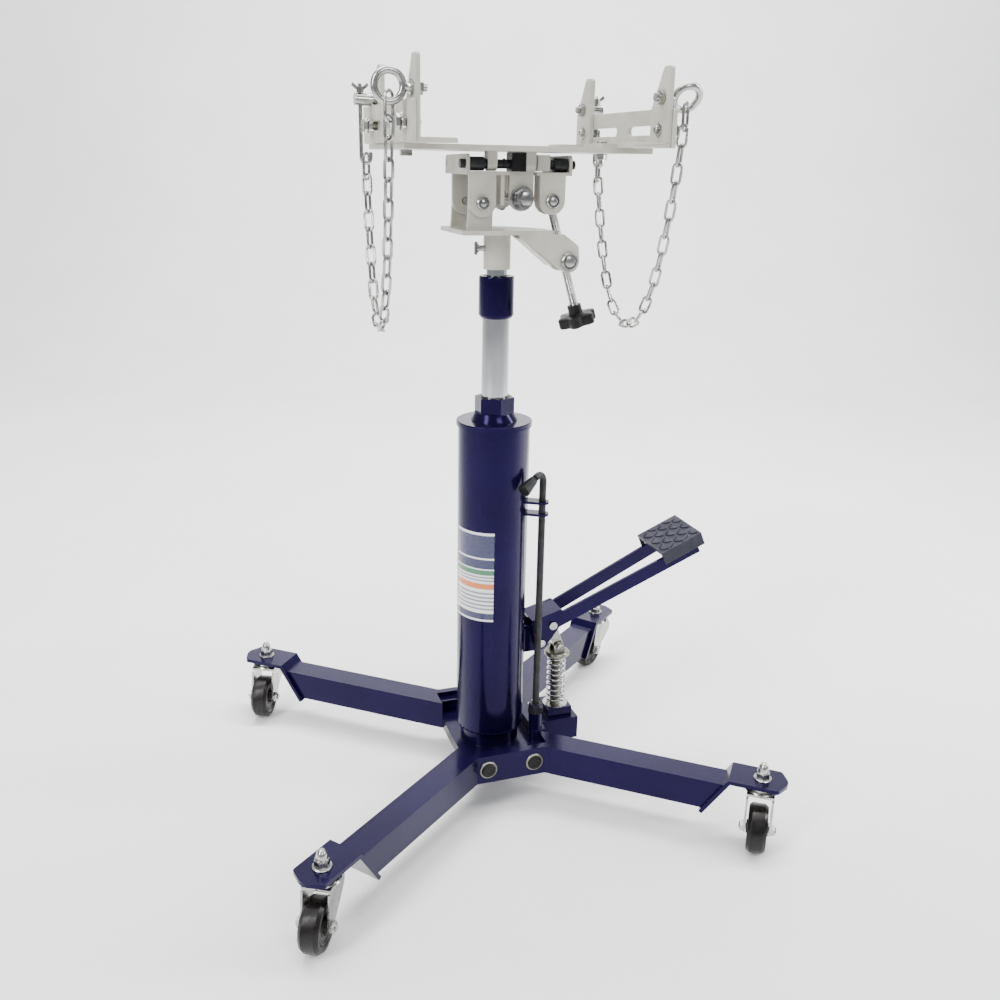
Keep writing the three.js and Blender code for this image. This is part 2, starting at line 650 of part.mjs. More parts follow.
function hingeRod() {
  return union(rodX(6, FRAME_X[0] - 7, FRAME_X[1] + 7, ...HINGE, 12),
    rodX(9, FRAME_X[0] + 5, FRAME_X[0] + 26, ...HINGE, 16),
    rodX(9, FRAME_X[1] - 24, FRAME_X[1] - 5, ...HINGE, 16));
}

// Nut that the fore-and-aft screw drives, clamped on the saddle's hanging arm.
function pitchNut() {
  const sleeve = rodY(9.6, -48, -38, ...PITCH, 16);
  return cut(union(sleeve, rodY(17, -49.3, -46.3, ...PITCH, 20), rodY(11.5, -56.5, -49, ...PITCH, 6),
    rodY(13, -39.7, -33, ...PITCH, 6)), rodY(8.6, -60, -30, ...PITCH, 16));
}

function pitchScrew() {
  return union(rodY(PITCH_R, -66, 60, ...PITCH, 14), rodY(9, 33.5, 38 - GAP, ...PITCH, 12),
    rodY(9, 44 + GAP, 48, ...PITCH, 12));
}

function pitchKnob() {
  const knob = starKnob(15, KNOB_LOBE, -70, -56, 10, -48 - GAP);
  return cut(knob, rod(PITCH_R + GAP, -60.3, -40, 0, 0, 14)).rotate([90, 0, 0])
    .translate([PITCH[0], 0, PITCH[1]]);
}

function sideScrew() {
  return onScrew(rod(SCREW_R, -166, 9, 0, 0, 16));
}

function sideKnob() {
  const knob = starKnob(KNOB_CORE, KNOB_LOBE, -178, -163, 10, -149);
  return onScrew(cut(knob, rod(SCREW_R + GAP, -166.3, -140, 0, 0, 16)));
}

// ---------------------------------------------------------------- saddle
function saddlePlate() {
  const [x0, x1] = SADDLE_X;
  const plate = block(x0, x1, -SADDLE_Y, SADDLE_Y, SADDLE_BOTTOM, SADDLE_TOP);
  const lug = (r, a, b) => plateYZ(wrapped([[...HINGE, r], [HINGE[0] - r + 1, 997, 1],
    [HINGE[0] + r - 1, 997, 1]], 16), a, b);
  const [px, pz] = PITCH;
  const arm = plateXZ(wrapped([[px, pz, 17.3], [px - 16.3, 979, 1], [px + 16.3, 979, 1]], 20),
    -46, -40);
  return cut(union(plate, lug(9, -32, -19), lug(10, 1, 36), arm),
    rodX(6 + RUN, -40, 45, ...HINGE, 12),
    rodY(10, -50, -35, ...PITCH, 16),
    rod(5 + RUN, 990, 1010, SIDES.left.boltX, 0, 12),
    rod(5 + RUN, 990, 1010, SIDES.right.boltX, 0, 12));
}

function saddleBolt(x) {
  const top = SADDLE_TOP + GAP + BAR_THICK + GAP;
  return union(rod(5, SADDLE_BOTTOM - 3, top + 2, x, 0, 12),
    rod(9, SADDLE_BOTTOM - 8, SADDLE_BOTTOM - GAP, x, 0, 6), rod(8, top, top + 3.5, x, 0, 12));
}

// Slotted bar along one end of the saddle, with a foot bolted to the plate.
function sideBar({ out, face, boltX, barEnd }) {
  const inner = face + out * GAP;
  const outer = inner + out * BAR_THICK;
  const [a, b] = sorted(inner, outer);
  const base = SADDLE_TOP + GAP;
  const [y0, y1] = [BAR_START, barEnd];
  const upright = plateYZ(wrapped([[y0 + 2, base + 2, 2], [y1 - 2, base + 2, 2],
    [y0 + 5, BAR_TOP - 5, 5], [y1 - 5, BAR_TOP - 5, 5]], 12), a, b);
  const [f0, f1] = sorted(outer, outer - out * 50);
  const foot = block(f0, f1, -40, 22, base, base + BAR_THICK);
  const slot = (p, q) => plateYZ(wrapped([[p, SLOT_Z, 6], [q, SLOT_Z, 6]], 12), a - 1, b + 1);
  return cut(union(upright, foot), slot(-134, -34), slot(14, barEnd - 21),
    rod(5 + RUN, 1000, 1020, boltX, 0, 12));
}

// Tapered post with its foot turned inward over the saddle.
function post({ out, face }, y) {
  const base = SADDLE_TOP + GAP;
  const [a, b] = sorted(face, face - out * POST_SHEET);
  const upright = plateYZ([[y, base], [y + POST_DEPTH, base], [y + POST_DEPTH, BAR_TOP],
    [y + 22, POST_TOP - 3], [y + 19, POST_TOP], [y + 3, POST_TOP], [y, POST_TOP - 3]], a, b);
  const [f0, f1] = sorted(face, face - out * POST_FOOT);
  const foot = block(f0, f1, y, y + POST_DEPTH, base, base + POST_SHEET);
  return union(upright, foot);
}

// Fastener through a post at (y, z): shank, neck outside, nut inside.
function postStud({ out, face }, y, z, neckR) {
  const span = (p, q) => sorted(face + out * p, face + out * q);
  return union(rodX(5, ...span(-18, 2), y, z, 12), rodX(neckR, ...span(GAP, 7), y, z, 14),
    rodX(9, ...span(-13, -POST_SHEET - GAP), y, z, 6));
}

function eyeBolt(side) {
  const ringX = side.face + side.out * 28;
  const g = new THREE.TorusGeometry(RING_R, RING_WIRE, 8, 16);
  g.rotateX(Math.PI / 2);
  g.translate(ringX, EYE_Y, EYE_Z);
  const ring = turn(solid(g), side.ringTurn, [0, EYE_Y, EYE_Z], "x");
  return union(postStud(side, EYE_Y, EYE_Z, 9), ring);
}

function hookSleeve(side, y) {
  const [a, b] = sorted(side.face + side.out * 6.8, side.hookX + side.out * 8);
  return cut(union(postStud(side, y, HOOK_Z, 6), rodX(8, a, b, y, HOOK_Z, 16)),
    rod(2.7 + RUN, HOOK_Z - 20, HOOK_Z + 20, side.hookX, y, 10));
}

// Hooked rod with its wing nut, standing in the sleeve.
function hookBolt(side, y) {
  const x = side.hookX;
  const bend = 6.5;
  const points = [[x, y, HOOK_LOW + 4]];
  for (const degrees of [0, 45, 90, 135, 180]) {
    const t = THREE.MathUtils.degToRad(degrees);
    points.push([x + bend - bend * Math.cos(t), y, HOOK_LOW - bend * Math.sin(t)]);
  }
  points.push([x + 2 * bend, y, HOOK_LOW + 8]);
  const seat = HOOK_Z + 8 + GAP;
  const wing = plateXZ([[-4, 0], [4, 0], [5, 4], [12, 9], [10, 13], [4, 8], [-4, 8], [-10, 13],
    [-12, 9], [-5, 4]], -1.5, 1.5).translate([x, y, seat]);
  return union(rod(2.7, HOOK_LOW + 3, HOOK_Z + 20, x, y, 8), swept(points, 2.7, 8, 10), wing,
    rod(5, seat, seat + 8, x, y, 10));
}

const hookY = (side) => side.farY + POST_DEPTH / 2;

// A post with the hole for its stud.
const drilled = (shape, { face }, y, z) =>
  shape.subtract(rodX(5 + RUN, face - 12, face + 12, y, z, 12));

// ---------------------------------------------------------------- chains
// Points along a chain of the given length that hangs freely between two ends.
function hanging(from, to, length, count) {
  const width = Math.abs(to[1] - from[1]);
  const rise = to[2] - from[2];
  const target = Math.sqrt(length * length - rise * rise);
  let low = 1;
  let high = 5000;
  for (let i = 0; i < 80; i++) {
    const a = (low + high) / 2;
    if (a * 2 * Math.sinh(Math.min(width / (2 * a), 300)) > target) low = a;
    else high = a;
  }
  const a = (low + high) / 2;
  // distance from the start to the lowest point, and the arc length up to it
  const dip = width / 2 - a * Math.asinh(rise / (2 * a * Math.sinh(width / (2 * a))));
  const arc = a * Math.sinh(dip / a);
  const points = [];
  for (let i = 0; i <= count; i++) {
    const u = a * Math.asinh(((length * i) / count - arc) / a);
    const f = (u + dip) / width;
    points.push([
      from[0] + (to[0] - from[0]) * f,
      from[1] + (to[1] - from[1]) * f,
      from[2] + a * (Math.cosh(u / a) - Math.cosh(dip / a)),
    ]);
  }
  return points;
}

function chain(side) {
  const start = [side.hookX + 6.5, hookY(side), HOOK_LOW - 13];
  const end = [side.face + side.out * 28, EYE_Y, EYE_Z - RING_R - RING_WIRE - 2.5];
  return swept(hanging(start, end, side.chain, 26), CHAIN_R, 8, 30);
}

// ---------------------------------------------------------------- assembly
piece("base_block", baseBlock(), NAVY);
piece("rear_leg_frame", legFrame(), NAVY);
piece("front_leg_frame", mirrorY(legFrame()), NAVY);
caster("fl", -1, -1, -120);
caster("fr", 1, -1, -125);
caster("rl", -1, 1, -115);
caster("rr", 1, 1, -144);

piece("reservoir", reservoir(), NAVY);
piece("main_cylinder", mainCylinder(), STEEL);
piece("reservoir_cap", reservoirCap(), NAVY);
piece("ram_1", ram1(), CHROME);
piece("ram_1_collar", ram1Collar(), NAVY);
piece("ram_2", ram2(), CHROME);

piece("pedal_lever", pedalLever(), NAVY);
piece("pedal_tread", pedalTread(), TREAD_GREY);
piece("pedal_pin", headedPin(5, 6.5, ARM_OUT, FULCRUM), ZINC);
piece("crank_pin", headedPin(4.5, 7, ARM_OUT, CRANK), ZINC);
piece("pump_link", pumpLink(), ZINC);
piece("link_pin", headedPin(4, 6, 13, LINK_FOOT), ZINC);
piece("pump_plunger", pumpPlunger(), ZINC);
piece("return_spring", returnSpring(), CHROME);
piece("release_rod", releaseRod(), BLACK);
piece("release_grip", releaseGrip(), BLACK);

piece("head_base", headBase(), CREAM);
piece("set_screw", setScrew(), ZINC);
piece("side_pivot_bolt", sidePivotBolt(), ZINC);
piece("tilt_frame", tiltFrame(), CREAM);
piece("upper_trunnion", upperTrunnion(), ZINC);
piece("lower_trunnion", lowerTrunnion(), ZINC);
piece("side_screw", sideScrew(), ZINC);
piece("side_knob", sideKnob(), BLACK);
piece("hinge_rod", hingeRod(), BLACK);
piece("pitch_nut", pitchNut(), ZINC);
piece("pitch_screw", pitchScrew(), ZINC);
piece("pitch_knob", pitchKnob(), BLACK);

piece("saddle_plate", saddlePlate(), CREAM);
for (const [name, side] of Object.entries(SIDES)) {
  piece(`saddle_bolt_${name}`, saddleBolt(side.boltX), ZINC);
  piece(`side_bar_${name}`, sideBar(side), CREAM);
  piece(`near_post_${name}`, drilled(post(side, NEAR_Y), side, EYE_Y, EYE_Z), CREAM);
  piece(`far_post_${name}`, drilled(post(side, side.farY), side, hookY(side), HOOK_Z), CREAM);
  piece(`eye_bolt_${name}`, eyeBolt(side), ZINC);
  piece(`hook_sleeve_${name}`, hookSleeve(side, hookY(side)), ZINC);
  piece(`hook_bolt_${name}`, hookBolt(side, hookY(side)), ZINC);
  piece(`chain_${name}`, chain(side), ZINC);
}

root.position.set(0, COLUMN_Y, -DATUM);

export default root;
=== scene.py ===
"""Looks of a two-stage telescopic jack with a tilting saddle, built around its CAD frame.

Metres, +Z up, the front is -Y. The column stands at COLUMN, behind the middle of the footprint.
"""
import json
import math

import bmesh
import bpy
from mathutils import Matrix, Vector


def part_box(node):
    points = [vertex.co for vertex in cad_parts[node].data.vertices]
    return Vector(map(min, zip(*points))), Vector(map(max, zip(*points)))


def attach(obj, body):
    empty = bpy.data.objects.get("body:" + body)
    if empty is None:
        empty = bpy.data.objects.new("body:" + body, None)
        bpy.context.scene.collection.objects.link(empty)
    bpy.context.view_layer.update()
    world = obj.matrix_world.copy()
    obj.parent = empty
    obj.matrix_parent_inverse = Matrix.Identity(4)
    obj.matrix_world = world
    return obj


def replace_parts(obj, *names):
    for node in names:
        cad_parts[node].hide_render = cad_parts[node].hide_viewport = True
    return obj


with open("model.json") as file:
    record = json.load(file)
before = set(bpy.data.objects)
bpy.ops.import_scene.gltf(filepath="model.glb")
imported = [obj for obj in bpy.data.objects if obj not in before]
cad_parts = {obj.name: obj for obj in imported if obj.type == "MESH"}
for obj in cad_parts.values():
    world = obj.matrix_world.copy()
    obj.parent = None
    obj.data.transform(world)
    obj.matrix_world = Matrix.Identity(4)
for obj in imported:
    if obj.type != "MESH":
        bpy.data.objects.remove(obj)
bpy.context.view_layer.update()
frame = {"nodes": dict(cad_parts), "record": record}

NODES = frame["nodes"]
MM = 0.001
UP = Vector((0, 0, 1))
SIDES = ("left", "right")
CASTERS = ("fl", "fr", "rl", "rr")


# ---------------------------------------------------------------- places taken from the frame
def low(node):
    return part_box(node)[0]


def high(node):
    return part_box(node)[1]


def middle(node):
    return (low(node) + high(node)) / 2


COLUMN = Vector((middle("ram_2").x, middle("ram_2").y, 0))
OUT = {"left": -1, "right": 1}
OUTWARD = {"left": "-x", "right": "x"}


# ---------------------------------------------------------------- camera
LENS = 36.23
SENSOR = 36
EYE = COLUMN + Vector((-0.4722, -1.3868, 0.9635))
YAW = 0.3357  # from +Y towards +X
PITCH = 0.324  # downwards
ROLL = 0.0193


def camera():
    forward = Vector((math.sin(YAW) * math.cos(PITCH), math.cos(YAW) * math.cos(PITCH),
                      -math.sin(PITCH)))
    level = Vector((math.cos(YAW), -math.sin(YAW), 0))
    upright = level.cross(forward)
    right = level * math.cos(ROLL) + upright * math.sin(ROLL)
    up = upright * math.cos(ROLL) - level * math.sin(ROLL)
    data = bpy.data.cameras.new("camera")
    data.lens = LENS
    data.sensor_width = SENSOR
    data.clip_end = 50
    eye = bpy.data.objects.new("camera", data)
    turn = Matrix((right, up, -forward)).transposed().to_4x4()
    eye.matrix_world = Matrix.Translation(EYE) @ turn
    bpy.context.scene.collection.objects.link(eye)
    bpy.context.scene.camera = eye


# ---------------------------------------------------------------- materials
class Surface:
    """A material whose colour, roughness and relief come from procedural patterns."""

    def __init__(self, name, metallic=0.0, coat=0.0, specular=0.5):
        self.material = bpy.data.materials.new(name)
        self.material.use_nodes = True
        self.tree = self.material.node_tree
        self.shader = self.tree.nodes["Principled BSDF"]
        self.shader.inputs["Metallic"].default_value = metallic
        self.shader.inputs["Coat Weight"].default_value = coat
        self.shader.inputs["Coat Roughness"].default_value = 0.06
        self.shader.inputs["Specular IOR Level"].default_value = specular
        self.coordinates = self.tree.nodes.new("ShaderNodeTexCoord").outputs["Object"]

    def link(self, source, target):
        self.tree.links.new(source, target)

    def stretched(self, x=1.0, y=1.0, z=1.0):
        mapping = self.tree.nodes.new("ShaderNodeMapping")
        mapping.inputs["Scale"].default_value = (x, y, z)
        self.link(self.coordinates, mapping.inputs["Vector"])
        return mapping.outputs["Vector"]

    def noise(self, scale, detail=4, at=None):
        node = self.tree.nodes.new("ShaderNodeTexNoise")
        node.inputs["Scale"].default_value = scale
        node.inputs["Detail"].default_value = detail
        self.link(at or self.coordinates, node.inputs["Vector"])
        return node.outputs["Fac"]

    def spots(self, scale):
        node = self.tree.nodes.new("ShaderNodeTexVoronoi")
        node.inputs["Scale"].default_value = scale
        self.link(self.coordinates, node.inputs["Vector"])
        return node.outputs["Distance"]

    def ramp(self, value, start, end, low_to, high_to):
        node = self.tree.nodes.new("ShaderNodeMapRange")
        node.inputs["From Min"].default_value = start
        node.inputs["From Max"].default_value = end
        node.inputs["To Min"].default_value = low_to
        node.inputs["To Max"].default_value = high_to
        self.link(value, node.inputs["Value"])
        return node.outputs["Result"]

    def colours(self, value, *stops, sharp=False):
        node = self.tree.nodes.new("ShaderNodeValToRGB")
        node.color_ramp.interpolation = "CONSTANT" if sharp else "LINEAR"
        elements = node.color_ramp.elements
        while len(elements) < len(stops):
            elements.new(0.5)
        for element, (place, colour) in zip(elements, stops):
            element.position = place
            element.color = (*colour, 1)
        self.link(value, node.inputs["Fac"])
        self.link(node.outputs["Color"], self.shader.inputs["Base Color"])
        return node.outputs["Color"]

    def roughness(self, value, smooth, rough):
        self.link(self.ramp(value, 0.3, 0.7, smooth, rough), self.shader.inputs["Roughness"])

    def relief(self, height, depth, strength=1.0):
        node = self.tree.nodes.new("ShaderNodeBump")
        node.inputs["Strength"].default_value = strength
        node.inputs["Distance"].default_value = depth
        self.link(height, node.inputs["Height"])
        self.link(node.outputs["Normal"], self.shader.inputs["Normal"])


def navy_paint():
    s = Surface("navy enamel", coat=0.04, specular=0.3)
    s.shader.inputs["Specular Tint"].default_value = (0.30, 0.22, 0.85, 1)
    s.colours(s.noise(9), (0.35, (0.003, 0.0016, 0.013)), (0.65, (0.005, 0.0028, 0.024)))
    s.roughness(s.noise(38), 0.12, 0.24)
    s.relief(s.noise(330, 2), 0.00012, 0.5)  # orange peel
    return s.material


def cream_paint():
    s = Surface("off-white powder coat", specular=0.35)
    s.colours(s.noise(22, 6), (0.3, (0.37, 0.355, 0.305)), (0.5, (0.44, 0.425, 0.37)),
              (0.7, (0.49, 0.475, 0.42)))
    s.roughness(s.noise(60), 0.3, 0.46)
    s.relief(s.noise(900, 3), 0.00012, 0.6)
    return s.material


def chrome():
    s = Surface("hard chrome", metallic=1.0)
    s.colours(s.noise(14), (0.3, (0.42, 0.43, 0.45)), (0.7, (0.58, 0.59, 0.61)))
    rings = s.noise(6, 3, s.stretched(z=160))  # honing marks run round the ram
    s.roughness(rings, 0.06, 0.17)
    s.relief(rings, 0.00003, 0.35)
    return s.material


def zinc():
    s = Surface("bright zinc plate", metallic=1.0)
    s.colours(s.noise(45, 5), (0.25, (0.24, 0.24, 0.235)), (0.5, (0.40, 0.40, 0.385)),
              (0.75, (0.52, 0.52, 0.49)))
    s.roughness(s.noise(120, 5), 0.14, 0.32)
    s.relief(s.noise(700, 4), 0.00008, 0.6)
    return s.material


def steel():
    s = Surface("turned steel", metallic=1.0)
    turning = s.noise(8, 2, s.stretched(z=220))
    s.colours(s.noise(30), (0.3, (0.17, 0.165, 0.14)), (0.7, (0.30, 0.29, 0.25)))
    s.roughness(turning, 0.25, 0.45)
    s.relief(turning, 0.00004, 0.5)
    return s.material


def black_oxide():
    s = Surface("black oxide", specular=0.25)
    s.colours(s.noise(60, 5), (0.3, (0.006, 0.006, 0.008)), (0.7, (0.02, 0.02, 0.023)))
    s.roughness(s.noise(90), 0.25, 0.5)
    s.relief(s.noise(500, 4), 0.00008, 0.6)
    return s.material


def black_plastic():
    s = Surface("moulded black plastic", specular=0.2)
    s.colours(s.noise(35, 5), (0.3, (0.003, 0.003, 0.0035)), (0.7, (0.009, 0.009, 0.01)))
    s.roughness(s.noise(80), 0.28, 0.45)
    s.relief(s.spots(1500), 0.0001, 0.5)
    return s.material


def wheel_rubber():
    s = Surface("hard wheel tread", specular=0.25)
    s.colours(s.noise(40, 6), (0.3, (0.003, 0.0025, 0.0025)), (0.68, (0.008, 0.006, 0.0055)),
              (0.8, (0.028, 0.022, 0.02)))  # floor dust in the scuffs
    s.roughness(s.noise(70, 5), 0.22, 0.45)
    s.relief(s.noise(420, 5), 0.00015, 0.6)
    return s.material


def tread_paint():
    s = Surface("grey-blue tread", specular=0.2)
    s.colours(s.noise(50, 6), (0.3, (0.016, 0.016, 0.026)), (0.62, (0.03, 0.03, 0.045)),
              (0.78, (0.06, 0.06, 0.075)))  # shoe scuffs
    s.roughness(s.noise(90, 5), 0.34, 0.6)
    s.relief(s.noise(800, 3), 0.00015, 0.6)
    return s.material


WHITE = (0.72, 0.73, 0.73)
PRINT = (0.20, 0.21, 0.24)
INK = (0.012, 0.014, 0.075)


def decal_print(bottom, top):
    """A plain care label: a dark header, two coloured bands and rules in place of text."""
    s = Surface("printed decal", coat=0.5)
    split = s.tree.nodes.new("ShaderNodeSeparateXYZ")
    s.link(s.coordinates, split.inputs["Vector"])
    up = s.ramp(split.outputs["Z"], bottom, top, 0, 1)
    stops = [(0.0, WHITE), (0.02, INK), (0.09, WHITE)]
    for line in range(5):
        stops += [(0.13 + 0.045 * line, PRINT), (0.15 + 0.045 * line, WHITE)]
    stops += [(0.37, (0.62, 0.17, 0.03)), (0.43, WHITE)]
    for line in range(2):
        stops += [(0.46 + 0.035 * line, PRINT), (0.475 + 0.035 * line, WHITE)]
    stops += [(0.53, (0.03, 0.17, 0.08)), (0.585, WHITE)]
    stops += [(0.60, INK), (0.70, WHITE), (0.72, INK), (0.97, WHITE)]
    s.colours(up, *stops, sharp=True)
    s.roughness(s.noise(60), 0.2, 0.34)
    s.relief(s.noise(600, 2), 0.00005, 0.4)
    return s.material


def backdrop_paper():
    s = Surface("backdrop paper", specular=0.2)
    s.colours(s.noise(3, 3), (0.3, (0.86, 0.86, 0.86)), (0.7, (0.9, 0.9, 0.9)))
    s.roughness(s.noise(12), 0.7, 0.8)
    return s.material


NAVY = navy_paint()
CREAM = cream_paint()
CHROME = chrome()
ZINC = zinc()
STEEL = steel()
OXIDE = black_oxide()
PLASTIC = black_plastic()
RUBBER = wheel_rubber()
TREAD = tread_paint()
BY_SLOT = {
    "navy_paint": NAVY, "cream_paint": CREAM, "chrome": CHROME, "spring_steel": CHROME,
    "zinc": ZINC, "steel": STEEL, "black_steel": OXIDE, "black_plastic": PLASTIC,
    "wheel_rubber": RUBBER, "tread_rubber": TREAD,
}
BEVEL = {"navy_paint": 1.4, "cream_paint": 0.9, "zinc": 0.6, "black_plastic": 1.2}  # mm
THIN_BEVEL = 0.5  # for the other slots
SMOOTH_ANGLE = math.radians(33)


def soften(thing, width):
    """Rounds sharp edges by a width in mm, and keeps broad faces flat in shading."""
    bevel = thing.modifiers.new("edges", "BEVEL")
    bevel.width = width * MM
    bevel.segments = 2
    bevel.limit_method = "ANGLE"
    bevel.angle_limit = SMOOTH_ANGLE
    weights = thing.modifiers.new("weights", "WEIGHTED_NORMAL")
    weights.mode = "FACE_AREA"
    weights.weight = 100
    weights.keep_sharp = True


def dress_frame():
    """Gives each CAD node its slot's material, soft edges and smooth round faces."""
    for entry in frame["record"]["subparts"]:
        node = NODES[entry["node"]]
        slot = entry["material_slot"]
        node.data.materials.clear()
        node.data.materials.append(BY_SLOT[slot])
        node.data.polygons.foreach_set("material_index", [0] * len(node.data.polygons))
        node.data.polygons.foreach_set("use_smooth", [True] * len(node.data.polygons))
        weld = node.modifiers.new("weld", "WELD")
        weld.merge_threshold = 0.01 * MM
        if entry["node"] == "return_spring":
            rounding = node.modifiers.new("round", "SUBSURF")
            rounding.levels = 2
            rounding.render_levels = 2
        else:
            soften(node, BEVEL.get(slot, THIN_BEVEL))


# ---------------------------------------------------------------- shapes
# A shape is (points, faces). AXES turns one that stands along Z to stand along another axis.
AXES = {
    "z": Matrix.Identity(3),
    "x": Matrix(((0, 0, 1), (0, 1, 0), (-1, 0, 0))),
    "-x": Matrix(((0, 0, -1), (0, 1, 0), (1, 0, 0))),
    "y": Matrix(((1, 0, 0), (0, 0, 1), (0, -1, 0))),
    "-y": Matrix(((1, 0, 0), (0, 0, -1), (0, 1, 0))),
}


def placed(shape, at, axis="z"):
    """Moves a shape to a point, turned by an axis name or a matrix."""
    turn = AXES[axis] if isinstance(axis, str) else axis
    points, faces = shape
    return [turn @ Vector(p) + Vector(at) for p in points], faces


def joined(*shapes):
    """Puts several shapes into one."""
    points, faces = [], []
    for more, rings in shapes:
        start = len(points)
        points += more
        faces += [tuple(i + start for i in face) for face in rings]
    return points, faces


def lofted(rings, closed=False, caps=True):
    """Skins rings of equal count. closed joins the last ring to the first."""
    count = len(rings[0])
    points = [p for ring in rings for p in ring]
    faces = []
    for r in range(len(rings) if closed else len(rings) - 1):
        a, b = r * count, ((r + 1) % len(rings)) * count
        for i in range(count):
            j = (i + 1) % count
            faces.append((a + i, a + j, b + j, b + i))
    if caps and not closed:
        faces.append(tuple(reversed(range(count))))
        faces.append(tuple(range(len(points) - count, len(points))))
    return points, faces


def circle(radius, height, steps, wave=0.0, lobes=0):
    """A ring of points about Z, whose radius can rise and fall by a wave in lobes."""
    ring = []
    for i in range(steps):
        a = 2 * math.pi * i / steps
        r = radius + wave * math.cos(lobes * a)
        ring.append(Vector((r * math.cos(a), r * math.sin(a), height)))
    return ring


def turned(profile, steps=48, closed=False):
    """Revolves (radius, height) pairs, in mm, about Z."""
    return lofted([circle(r * MM, h * MM, steps) for r, h in profile], closed=closed)


def hexagon(radius, h0, h1, chamfer=0.8):
    """A hexagonal nut or bolt head with its corners chamfered, in mm."""
    rows = [(radius - chamfer, h0), (radius, h0 + chamfer / 2), (radius, h1 - chamfer),
            (radius - 1.5 * chamfer, h1)]
    return lofted([circle(r * MM, h * MM, 6) for r, h in rows])


def tube_ring(centre, side, over, radius, steps):
    """A ring of points round a centre, in the plane of the directions side and over."""
    ring = []
    for i in range(steps):
        a = 2 * math.pi * i / steps
        ring.append(centre + (side * math.cos(a) + over * math.sin(a)) * radius)
    return ring


def torus(major, minor, steps=64, sides=18):
    """A ring of round bar about Z, in mm."""
    rings = []
    for i in range(steps):
        a = 2 * math.pi * i / steps
        aim = Vector((math.cos(a), math.sin(a), 0))
        rings.append(tube_ring(aim * major * MM, aim, UP, minor * MM, sides))
    return lofted(rings, closed=True)


def threaded(radius, depth, pitch, h0, h1, steps=20):
    """A screw thread about Z from h0 to h1, in mm, with chamfered ends."""
    rows = 4 * round((h1 - h0) / pitch)
    rings = []
    for row in range(rows + 1):
        h = h0 + (h1 - h0) * row / rows
        ring = []
        for i in range(steps):
            a = 2 * math.pi * i / steps
            phase = ((h / pitch) - i / steps) % 1
            r = radius - depth * abs(2 * phase - 1)
            r -= max(0.0, 1.5 - min(h - h0, h1 - h))
            ring.append(Vector((r * MM * math.cos(a), r * MM * math.sin(a), h * MM)))
        rings.append(ring)
    return lofted(rings)


def star_knob(core, wave, h0, h1, hub, hub_top, steps=96):
    """A six-lobed hand knob with rounded rims, its hub rising to hub_top, in mm."""
    soft = 2.5
    rows = [(core - 6, h0 + 0.3), (core - soft, h0), (core - 0.7, h0 + 0.7), (core, h0 + soft),
            (core, h1 - soft), (core - 0.7, h1 - 0.7), (core - soft, h1), (hub + 2, h1 + 0.4),
            (hub, h1 + 2), (hub, hub_top - 1), (hub - 1, hub_top)]
    rings = []
    for r, h in rows:
        share = min(1.0, max(0.0, (r - hub) / (core - soft - hub)))
        rings.append(circle(r * MM, h * MM, steps, wave * MM * share, 6))
    return lofted(rings)


def outward(mesh):
    """Turns every face to point outwards."""
    work = bmesh.new()
    work.from_mesh(mesh)
    bmesh.ops.recalc_face_normals(work, faces=work.faces)
    work.to_mesh(mesh)
    work.free()


def piece(name, shape, material, body, bevel=0.0):
    """Makes a shape a visible piece of that CAD body."""
    points, faces = shape
    mesh = bpy.data.meshes.new(name)
    mesh.from_pydata([tuple(p) for p in points], [], faces)
    mesh.validate()
    mesh.materials.append(material)
    mesh.polygons.foreach_set("use_smooth", [True] * len(mesh.polygons))
    mesh.set_sharp_from_angle(angle=SMOOTH_ANGLE)
    thing = bpy.data.objects.new(name, mesh)
    bpy.context.scene.collection.objects.link(thing)
    outward(mesh)
    if bevel:
        soften(thing, bevel)
    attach(thing, body)
    return thing


# ---------------------------------------------------------------- chains
LINK_LENGTH = 32
LINK_WIDTH = 16
LINK_WIRE = 4
LINK_PITCH = LINK_LENGTH - 2 * LINK_WIRE
LINK_ROLL = (-50, 40)  # degrees, by turns from link to link
WELD = 1.12  # the wire is this much thicker at a link's weld
LAST_LINK = 1.25  # the links on the hook and the ring are this much larger
CHAIN_LENGTH = {"left": 0.548, "right": 0.600}
TAIL = 0.014  # each end runs on this far, round its hook or ring
WING_TIP = 0.012  # from the hook bolt's axis to its wing nut's tip, where its box starts
HOOK_BEND = 0.0065  # radius of the hook
HOOK_DROP = 0.0038  # from the hook's underside to the chain's end
RING_R = 17.3
RING_WIRE = 4.7  # radius of the ring's bar
RING_DROP = 2.5  # from the ring's underside to the chain's end
RING_OUT = 0.028  # from a post's outer face to the ring's middle
EYE_HEIGHT = 1.046


def post_face(side):
    """Where the outer faces of that side's posts are, along X."""
    return low(f"near_post_{side}").x if side == "left" else high(f"near_post_{side}").x


def chain_ends(side):
    """Under the hook's bend, and under the eye ring."""
    hook = f"hook_bolt_{side}"
    start = Vector((low(hook).x + WING_TIP + HOOK_BEND, middle(hook).y, low(hook).z - HOOK_DROP))
    end = Vector((post_face(side) + OUT[side] * RING_OUT, middle(f"eye_bolt_{side}").y,
                  EYE_HEIGHT - (RING_R + RING_WIRE + RING_DROP) * MM))
    return start, end


